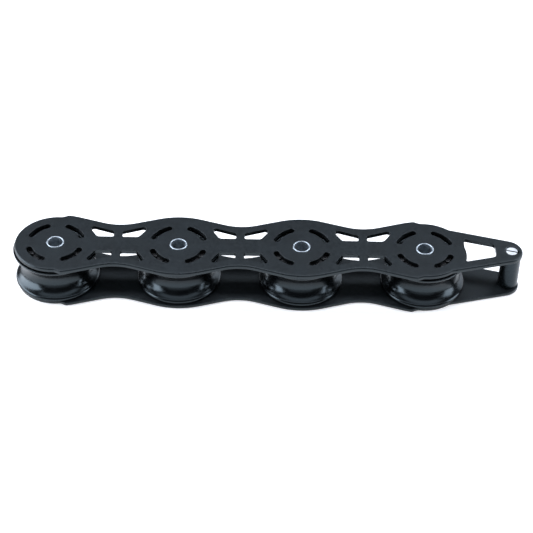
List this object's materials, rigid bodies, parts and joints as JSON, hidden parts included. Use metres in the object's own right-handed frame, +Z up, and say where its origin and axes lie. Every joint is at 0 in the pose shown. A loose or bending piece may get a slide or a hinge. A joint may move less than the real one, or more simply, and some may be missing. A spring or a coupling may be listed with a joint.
{
  "type": "rope deck organizer",
  "caption": "Deck organizer for ropes: a row of grooved sheaves on roller bearings between two scalloped black plates, with hollow axles for deck bolts and a tapered nose held by a post.",
  "frame": {"origin": "on the underside of the base plate, under the middle of the whole length and width", "axes": "+X along the row of sheaves from the round end to the tapered nose, +Z up from the deck along the axles"},
  "size_m": [0.3478, 0.0604, 0.0326],
  "materials": {
    "plate": "satin black anodised",
    "axle": "turned stainless steel",
    "hub": "moulded dark acetal",
    "roller": "moulded dark acetal",
    "sheave": "gloss black moulded composite",
    "post": "satin dark anodised",
    "screw": "turned stainless steel"
  },
  "bodies": {
    "frame": {"top_plate": "plate", "base_plate": "plate", "nose_post": "post", "nose_screw": "screw", "axle_1": "axle", "bearing_hub_1": "hub", "axle_2": "axle", "bearing_hub_2": "hub", "axle_3": "axle", "bearing_hub_3": "hub", "axle_4": "axle", "bearing_hub_4": "hub"},
    "sheave_body_1": {"sheave_1": "sheave"},
    "roller_body_1": {"roller_set_1": "roller"},
    "sheave_body_2": {"sheave_2": "sheave"},
    "roller_body_2": {"roller_set_2": "roller"},
    "sheave_body_3": {"sheave_3": "sheave"},
    "roller_body_3": {"roller_set_3": "roller"},
    "sheave_body_4": {"sheave_4": "sheave"},
    "roller_body_4": {"roller_set_4": "roller"}
  },
  "joints": [
    {"name": "sheave_spin_1", "type": "hinge", "parent": "frame", "child": "sheave_body_1", "pos_m": [-0.1449, 0, 0.016], "axis": [0, 0, 1], "continuous": true},
    {"name": "roller_orbit_1", "type": "hinge", "parent": "frame", "child": "roller_body_1", "pos_m": [-0.1449, 0, 0.016], "axis": [0, 0, 1], "continuous": true},
    {"name": "sheave_spin_2", "type": "hinge", "parent": "frame", "child": "sheave_body_2", "pos_m": [-0.0609, 0, 0.016], "axis": [0, 0, 1], "continuous": true},
    {"name": "roller_orbit_2", "type": "hinge", "parent": "frame", "child": "roller_body_2", "pos_m": [-0.0609, 0, 0.016], "axis": [0, 0, 1], "continuous": true},
    {"name": "sheave_spin_3", "type": "hinge", "parent": "frame", "child": "sheave_body_3", "pos_m": [0.0231, 0, 0.016], "axis": [0, 0, 1], "continuous": true},
    {"name": "roller_orbit_3", "type": "hinge", "parent": "frame", "child": "roller_body_3", "pos_m": [0.0231, 0, 0.016], "axis": [0, 0, 1], "continuous": true},
    {"name": "sheave_spin_4", "type": "hinge", "parent": "frame", "child": "sheave_body_4", "pos_m": [0.1071, 0, 0.016], "axis": [0, 0, 1], "continuous": true},
    {"name": "roller_orbit_4", "type": "hinge", "parent": "frame", "child": "roller_body_4", "pos_m": [0.1071, 0, 0.016], "axis": [0, 0, 1], "continuous": true}
  ],
  "couplings": [
    {"joint": "roller_orbit_1", "follows": "sheave_spin_1", "ratio": 0.5953},
    {"joint": "roller_orbit_2", "follows": "sheave_spin_2", "ratio": 0.5953},
    {"joint": "roller_orbit_3", "follows": "sheave_spin_3", "ratio": 0.5953},
    {"joint": "roller_orbit_4", "follows": "sheave_spin_4", "ratio": 0.5953}
  ]
}
